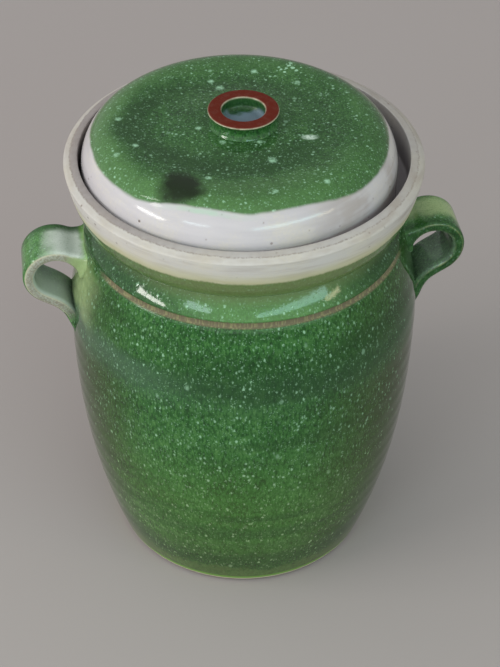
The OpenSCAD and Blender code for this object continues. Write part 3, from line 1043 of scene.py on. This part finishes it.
class CROCK_OT_throw_lid(bpy.types.Operator):
    """Turns the lid with its rounded shoulder and skirt"""
    bl_idname = "crock.throw_lid"
    bl_label = "Throw Lid"

    def execute(self, context):
        lid = context.scene.crock_lid
        glaze = context.scene.crock_glaze
        middle = (LID_MIDDLE.x, LID_MIDDLE.y)
        foot = LID_LOW.z
        bevel = 1 * MM
        round_radius = lid.skirt_radius - lid.round_width
        round_middle = (round_radius, lid.top_height - lid.round_height)

        # The top dips by the square of a sine between the pad and the rounded shoulder
        share = np.linspace(0, 1, 40)
        dip = np.column_stack([
            lid.pad_radius + (round_radius - lid.pad_radius) * share,
            lid.top_height - lid.dip * np.sin(np.pi * share) ** 2])
        inner = (lid.round_width - lid.wall, lid.round_height - lid.wall)
        outline = np.vstack([
            [[0, lid.top_height]],
            dip,
            ellipse(round_middle, (lid.round_width, lid.round_height), 90, 0, 40)[1:],
            [[lid.skirt_radius, foot + bevel], [lid.skirt_radius - bevel, foot]],
            [[lid.skirt_radius - lid.wall, foot]],
            ellipse(round_middle, inner, 0, 90, 30),
            [[0, lid.top_height - lid.wall]]])
        rows = thinned(softened(outline, 0.4 * MM), 220)
        points, faces = turned_solid(rows, middle=middle)

        # The green ends where the radius passes its edge, which draws in twice along the front
        flat = points[:, :2] - np.array(middle)
        radius = np.hypot(*flat.T)
        heading = np.degrees(np.arctan2(flat[:, 1], flat[:, 0]))
        edge = np.full_like(heading, lid.green_radius)
        for depth, at, width in DRAWN_IN:
            edge -= depth * MM * hump(heading, at, width)
        run = run_along(rows)
        outer_end = int(np.argmax(rows[:, 0])) + 1
        edge_run = np.interp(edge, rows[:outer_end, 0], run[:outer_end])
        marks = {
            "radius": radius / MM,
            "edge": (row_mark(run) - edge_run) / MM,
            "bare": row_mark(smooth_step(foot + 1.6 * MM, foot + 0.4 * MM, rows[:, 1])),
            "thin": hump(heading, -111, 14)}
        finished_piece(
            "lid_cover", points, faces, marks, lid_glaze(glaze), "lid", ["lid_dome"])
        return {"FINISHED"}


class CROCK_OT_throw_knob(bpy.types.Operator):
    """Turns the hollow ring knob"""
    bl_idname = "crock.throw_knob"
    bl_label = "Throw Knob"

    def execute(self, context):
        knob = context.scene.crock_knob
        glaze = context.scene.crock_glaze
        turns = 160
        low = KNOB_LOW.z
        top = KNOB_HIGH.z
        bowl = low + knob.bowl_floor
        foot = knob.foot_radius + 1.4 * MM
        waist = 2 * knob.waist_radius - knob.foot_radius - 1 * MM
        fillet = 3 * MM
        outline = np.vstack([
            [[0, bowl - 0.4 * MM], [knob.bowl_radius - 4 * MM, bowl]],
            ellipse((knob.bowl_radius - fillet, bowl + fillet), fillet, -90, 0, 8),
            [[knob.bowl_radius, top - knob.bevel], [knob.bowl_radius + knob.bevel, top]],
            [[knob.radius - knob.bevel, top]],
            bent((knob.radius, top - knob.bevel), (waist, (low + top) / 2), (foot, low + 0.2 * MM), 20),
            [[foot, low], [0, low]]])
        rows = thinned(softened(outline, 0.3 * MM), 140)
        points, faces = turned_solid(rows, turns, (KNOB_MIDDLE.x, KNOB_MIDDLE.y))
        radius, height = rows.T
        inside = np.arange(len(rows)) < int(np.argmax(height))
        edge = 0.25 * MM
        rims = hump(radius, knob.bowl_radius + 0.3 * MM, edge) + hump(radius, knob.radius - 0.2 * MM, edge)
        along_rows = {
            "clay": smooth_step(top - 0.7 * MM, top - 0.4 * MM, height),
            "rim": np.clip(rims * smooth_step(top - 1.6 * MM, top - 0.8 * MM, height), 0, 1),
            "pooled": smooth_step(bowl + 3.5 * MM, bowl + 1.0 * MM, height) * inside,
            "bowl": inside.astype(float)}
        marks = {name: row_mark(values, turns) for name, values in along_rows.items()}
        finished_piece(
            "ring_knob", points, faces, marks, knob_glaze(glaze), "lid", ["lid_knob"])
        return {"FINISHED"}


class CROCK_OT_pull_handles(bpy.types.Operator):
    """Sweeps the two strap handles along their bent line"""
    bl_idname = "crock.pull_handles"
    bl_label = "Pull Handles"

    def execute(self, context):
        pot = context.scene.crock_pot
        handle = context.scene.crock_handle
        glaze = context.scene.crock_glaze
        for name, side, node in (("right_strap", 1.0, "right_handle"), ("left_strap", -1.0, "left_handle")):
            points, faces, marks = strap(handle, pot, side)
            material = handle_glaze(glaze, name + "_glaze", side < 0)
            finished_piece(name, points, faces, marks, material, "crock", [node])
        return {"FINISHED"}


def strap_line(handle, pot):
    """Middle line of the right strap. The heading is steady on the arms and turns steadily on the two
    bends, and the line adds up its steps. Returns the run from the wall, the points, the headings, and the
    runs at which the upper arm, the bend, the lower arm, the reverse bend and the foot end."""
    low_head = handle.root_tilt - handle.bend_turn
    foot_head = low_head + handle.foot_turn

    def beside(heading):
        return np.array([np.sin(heading), -np.cos(heading)])

    root = np.array([pot.radius_at(handle.root_height), handle.root_height])
    arm_end = root + handle.arm * np.array([np.cos(handle.root_tilt), np.sin(handle.root_tilt)])
    bend_end = arm_end + handle.bend_radius * (beside(handle.root_tilt) - beside(low_head))
    foot_step = handle.foot_radius * (beside(foot_head) - beside(low_head))
    low_arm = (pot.belly_radius - handle.foot_sink - bend_end[0] - foot_step[0]) / np.cos(low_head)
    bend = handle.bend_radius * handle.bend_turn
    foot_bend = handle.foot_radius * handle.foot_turn
    ends = np.cumsum([handle.arm, bend, low_arm, foot_bend, handle.foot])
    step = 0.1 * MM
    spread = 20
    run = np.arange(-0.8 * pot.wall, ends[-1], step)
    heading = np.interp(run, ends, [handle.root_tilt, low_head, low_head, foot_head, foot_head])
    heading = np.convolve(np.pad(heading, 3 * spread, mode="edge"), bell_curve(spread), "valid")
    line = np.cumsum(np.column_stack([np.cos(heading), np.sin(heading)]) * step, axis=0)
    line += root - line[int(np.argmin(np.abs(run)))]
    return run, line, heading, ends


def strap(handle, pot, side):
    """Strap handle: a rounded rectangle carried along the middle line. It widens in a hollow curve towards
    the wall at the root, and at the foot it widens, curves round the wall and thins out into it."""
    run, line, heading, ends = strap_line(handle, pot)
    stations = 170
    corner_points = 7
    flat_points = 10
    keep = np.linspace(0, len(run) - 1, stations).astype(int)
    run, line, heading = run[keep], line[keep], heading[keep]

    flare = np.clip(1 - np.clip(run, 0, None) / handle.arm, 0, 1) ** 2
    hollow = np.clip(handle.fillet - np.clip(run, 0, None), 0, None)
    fillet = handle.fillet - np.sqrt(handle.fillet ** 2 - hollow ** 2)
    pressed = smooth_step(ends[2], ends[3], run)
    hug = pressed + smooth_step(handle.arm, 0, run)
    tail = smooth_step(ends[3] - 4 * MM, ends[4], run)
    tail_thinning = 1.2 * MM * tail
    tail_narrowing = 3.5 * MM * tail ** 2
    thick = (handle.thickness + handle.flare_thickness * flare) / 2 + 0.7 * fillet - tail_thinning
    wide = (handle.width + handle.flare_width * (flare + pressed ** 2)) / 2 + 0.8 * fillet - tail_narrowing
    edge = np.minimum(handle.edge, thick - 0.1 * MM)

    # Section: four rounded corners, with a wide flat side after the second and after the fourth. A corner's
    # middle lies at a share of the half sizes, and the turn is the direction in which the edge rounds it
    section = []
    flats = np.linspace(1, -1, flat_points + 2)[1:-1]
    for k, (outward, beside) in enumerate(((1, 1), (-1, 1), (-1, -1), (1, -1))):
        quarter = np.linspace(k, k + 1, corner_points) * np.pi / 2
        section.append(np.broadcast_arrays(outward, beside, quarter))
        if k in (1, 3):
            section.append(np.broadcast_arrays(outward, beside * flats, quarter[-1]))
    out_share, side_share, turn = np.hstack(section)
    outwards = out_share * (thick - edge)[:, None] + edge[:, None] * np.cos(turn)
    along_y = side_share * (wide - edge)[:, None] + edge[:, None] * np.sin(turn)
    curve = hug[:, None] * along_y ** 2 / (2 * pot.belly_radius)
    x = line[:, :1] - outwards * np.sin(heading)[:, None] - curve
    z = line[:, 1:] + outwards * np.cos(heading)[:, None]
    rings = np.stack([side * x, side * along_y, z], axis=-1)
    columns = len(turn)
    middles = np.array([[side * line[0, 0], 0, line[0, 1]], [side * line[-1, 0], 0, line[-1, 1]]])
    points = np.vstack([rings.reshape(-1, 3), middles])
    faces = capped(stations, columns)

    def with_ends(values):
        return np.concatenate([values.ravel(), [values[0].mean(), values[-1].mean()]])

    marks = {
        "side": with_ends(side * along_y / wide[:, None]),
        "out": with_ends(np.tile(np.cos(turn), (stations, 1))),
        "run": with_ends(np.repeat((run / ends[-1])[:, None], columns, axis=1))}
    return points, faces, marks


class CROCK_OT_cut_stones(bpy.types.Operator):
    """Makes the two half-round weighting stones"""
    bl_idname = "crock.cut_stones"
    bl_label = "Cut Stones"

    def execute(self, context):
        stone = context.scene.crock_stone
        material = stone_clay(context.scene.crock_glaze)
        for name, side, node, body in (
                ("right_stone_slab", 1.0, "right_weight_stone", "right_stone"),
                ("left_stone_slab", -1.0, "left_weight_stone", "left_stone")):
            points, faces = slab(stone, side)
            finished_piece(name, points, faces, {}, material, body, [node])
        return {"FINISHED"}


def slab(stone, side):
    """Half-round slab with a notch: each ring is the outline, moved inwards along its normal by the
    rounding as the height goes round a quarter circle at both edges."""
    reach = np.degrees(np.arccos(stone.straight / stone.radius))
    notch = np.degrees(np.arccos(stone.straight / stone.notch))
    outline = np.vstack([
        ellipse((0, 0), stone.radius, -reach, reach, 90),
        ellipse((0, 0), stone.notch, notch, -notch, 40)])
    loop = soft_loop(outline, 1.6 * MM, 180)
    ahead = np.roll(loop, -1, axis=0) - np.roll(loop, 1, axis=0)
    ahead /= np.hypot(*ahead.T)[:, None]
    inward = np.column_stack([-ahead[:, 1], ahead[:, 0]])
    turn = np.linspace(0, np.pi / 2, 8)
    inset = stone.rounding * np.concatenate([1 - np.sin(turn), 1 - np.sin(turn[::-1])])
    height = np.concatenate([
        stone.bottom + stone.rounding * (1 - np.cos(turn)),
        stone.top - stone.rounding * (1 - np.cos(turn[::-1]))])
    flat = loop[None] + inset[:, None, None] * inward[None]
    level = np.repeat(height[:, None], len(loop), axis=1)
    rings = np.concatenate([side * flat, level[..., None]], axis=-1)
    count = len(loop)
    bottom = np.arange(count)[None, ::-1]
    top = np.arange(count)[None] + (len(height) - 1) * count
    return rings.reshape(-1, 3), [strips(len(height), count, False), bottom, top]


# Lamps: name, heading and height in degrees, width and height in metres, power, colour
LAMPS = (
    ("glint", -161, 20, (0.64, 0.15), 8.0, (1.0, 0.98, 0.92)),
    ("lid_glint", -173, 42, (0.42, 0.28), 3.5, (1.0, 0.98, 0.94)),
    ("left_window", -129, 31, (0.5, 0.15), 2.4, (0.7, 0.96, 0.98)),
    ("right_window", -63, 31, (1.5, 0.17), 6.5, (0.55, 0.96, 0.94)),
    ("warm_gap", -35, 25, (0.36, 0.09), 1.2, (1.0, 0.88, 0.6)),
)
LAMP_DISTANCE = 1.8
LAMP_TARGET = Vector((0.0, 0.0, 0.2))
SENSOR_WIDTH = 36
SKY_COLOUR = (0.97, 0.98, 1.0, 1.0)
LEAST_SKY = 0.1


def direction(heading, height):
    """Unit vector at a heading from +X towards +Y and at a height above the level, in radians."""
    return Vector((np.cos(height) * np.cos(heading), np.cos(height) * np.sin(heading), np.sin(height)))


class CROCK_OT_set_stage(bpy.types.Operator):
    """Sets up the floor, the light and the camera"""
    bl_idname = "crock.set_stage"
    bl_label = "Set Stage"

    def execute(self, context):
        stage = context.scene.crock_stage
        scene = context.scene
        scene.view_settings.view_transform = "Standard"

        turns = 96
        ring = np.full((1, turns), stage.floor_radius)
        points = turned_grid(ring, np.full((1, turns), -0.1 * MM))
        mesh = bpy.data.meshes.new("floor")
        mesh.from_pydata(points.tolist(), [], [list(range(turns))])
        recipe = recipe_for("floor")
        grain = noise(recipe.place(), 4)
        mesh.materials.append(recipe.finish(stage.floor_colour, 0.9, 0.02 * grain))
        floor = bpy.data.objects.new("floor", mesh)
        scene.collection.objects.link(floor)

        scene.world = bpy.data.worlds.new("studio")
        sky = Recipe(scene.world)
        x, y, z = split(sky.node("ShaderNodeTexCoord", {}, {}, "Generated"))
        ahead = float(np.cos(stage.lean_heading)) * x + float(np.sin(stage.lean_heading)) * y
        strength = (stage.horizon - stage.fall * z + stage.lean * ahead) | LEAST_SKY
        glow = sky.node("ShaderNodeBackground", {}, {"Color": SKY_COLOUR, "Strength": strength})
        sky.node("ShaderNodeOutputWorld", {}, {"Surface": glow})

        for name, heading, height, size, power, tint in LAMPS:
            outward = direction(np.radians(heading), np.radians(height))
            light = bpy.data.lights.new(name, "AREA")
            light.shape = "RECTANGLE"
            light.size, light.size_y = size
            light.energy = power
            light.color = tint
            lamp = bpy.data.objects.new(name, light)
            lamp.location = LAMP_TARGET + LAMP_DISTANCE * outward
            lamp.rotation_euler = outward.to_track_quat("Z", "Y").to_euler()
            scene.collection.objects.link(lamp)

        forward = direction(np.pi / 2 - stage.heading, -stage.pitch)
        level = forward.cross(Vector((0, 0, 1))).normalized()
        upright = level.cross(forward)
        right = np.cos(stage.roll) * level + np.sin(stage.roll) * upright
        up = np.cos(stage.roll) * upright - np.sin(stage.roll) * level
        lens = bpy.data.cameras.new("camera")
        lens.lens = stage.lens
        lens.sensor_width = SENSOR_WIDTH
        camera = bpy.data.objects.new("camera", lens)
        turn = Matrix((right, up, -forward)).transposed().to_4x4()
        camera.matrix_world = Matrix.Translation(stage.camera_place) @ turn
        scene.collection.objects.link(camera)
        scene.camera = camera
        return {"FINISHED"}


# Panel and registration

class CROCK_PT_steps(bpy.types.Panel):
    """Lists the steps that build the crock"""
    bl_idname = "CROCK_PT_steps"
    bl_label = "Fermentation Crock"
    bl_space_type = "VIEW_3D"
    bl_region_type = "UI"
    bl_category = "Crock"

    def draw(self, context):
        for step in STEPS:
            self.layout.operator(step.bl_idname)
        for name, group in GROUPS.items():
            box = self.layout.box()
            box.label(text=group.__doc__)
            for value in group.__annotations__:
                box.prop(getattr(context.scene, name), value)


GROUPS = {
    "crock_pot": PotSettings,
    "crock_gutter": GutterSettings,
    "crock_lid": LidSettings,
    "crock_knob": KnobSettings,
    "crock_handle": HandleSettings,
    "crock_stone": StoneSettings,
    "crock_glaze": GlazeSettings,
    "crock_stage": StageSettings,
}
STEPS = (
    CROCK_OT_throw_pot,
    CROCK_OT_throw_gutter,
    CROCK_OT_pull_handles,
    CROCK_OT_throw_lid,
    CROCK_OT_throw_knob,
    CROCK_OT_cut_stones,
    CROCK_OT_set_stage,
)


def register():
    for name, group in GROUPS.items():
        bpy.utils.register_class(group)
        setattr(bpy.types.Scene, name, bpy.props.PointerProperty(type=group))
    for step in STEPS:
        bpy.utils.register_class(step)
    bpy.utils.register_class(CROCK_PT_steps)


def unregister():
    bpy.utils.unregister_class(CROCK_PT_steps)
    for step in reversed(STEPS):
        bpy.utils.unregister_class(step)
    for name, group in reversed(GROUPS.items()):
        delattr(bpy.types.Scene, name)
        bpy.utils.unregister_class(group)


def clear_leftovers():
    """Removes what a new file starts with, so that only the frame is left."""
    kept = {*frame["bodies"].values(), *frame["nodes"].values()}
    for thing in list(bpy.data.objects):
        if thing not in kept:
            bpy.data.objects.remove(thing)


def main():
    clear_leftovers()
    register()
    bpy.ops.crock.throw_pot()
    bpy.ops.crock.throw_gutter()
    bpy.ops.crock.pull_handles()
    bpy.ops.crock.throw_lid()
    bpy.ops.crock.throw_knob()
    bpy.ops.crock.cut_stones()
    bpy.ops.crock.set_stage()
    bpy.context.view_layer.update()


if __name__ == "__main__":
    main()
